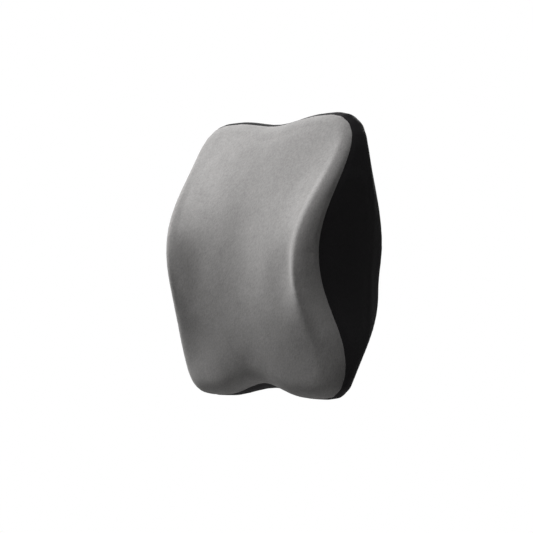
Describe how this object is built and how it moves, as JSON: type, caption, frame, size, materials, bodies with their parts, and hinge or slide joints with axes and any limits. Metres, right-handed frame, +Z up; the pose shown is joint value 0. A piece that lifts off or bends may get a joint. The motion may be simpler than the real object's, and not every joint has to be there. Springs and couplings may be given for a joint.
{
  "type": "car neck pillow",
  "caption": "Moulded foam car neck pillow: grey velour front with side wings and a neck cradle, black knit sides and zipped back, elastic strap with a side-release buckle.",
  "frame": {"origin": "on the back face, in the middle of the strap", "axes": "+Z up, +X to the right seen from the front, the front faces -Y, the back faces +Y"},
  "size_m": [0.233, 0.1571, 0.2999],
  "materials": {
    "velour": "short soft nap, light warm grey",
    "knit": "fine matte black knit",
    "webbing": "matte black woven elastic",
    "foam": "moulded open-cell foam",
    "moulded_plastic": "satin black",
    "zipper_metal": "black lacquered"
  },
  "bodies": {
    "pillow": {"foam_core": "foam", "front_panel": "velour", "side_band": "knit", "back_panel_upper": "knit", "back_panel_lower": "knit", "zipper_tape_upper": "webbing", "zipper_tape_lower": "webbing", "zipper_teeth_upper": "moulded_plastic", "zipper_teeth_lower": "moulded_plastic", "zipper_top_stop_upper": "zipper_metal", "zipper_top_stop_lower": "zipper_metal", "zipper_bottom_stop": "zipper_metal", "strap_left": "webbing", "strap_right": "webbing", "tail_keeper": "webbing", "buckle_socket": "moulded_plastic", "buckle_plug": "moulded_plastic"},
    "zipper_slider": {"zipper_slider": "zipper_metal"},
    "zipper_pull": {"zipper_pull": "zipper_metal"}
  },
  "joints": [
    {"name": "zipper_slide", "type": "slide", "parent": "pillow", "child": "zipper_slider", "axis": [1, 0, 0], "range_m": [-0.142, 0], "deforming": ["zipper_teeth_upper", "zipper_teeth_lower"]},
    {"name": "zipper_pull_hinge", "type": "hinge", "parent": "zipper_slider", "child": "zipper_pull", "pos_m": [0.0728, -0.02166, 0.08194], "axis": [0, 0.465, -0.8853], "range_deg": [0, 175]}
  ]
}
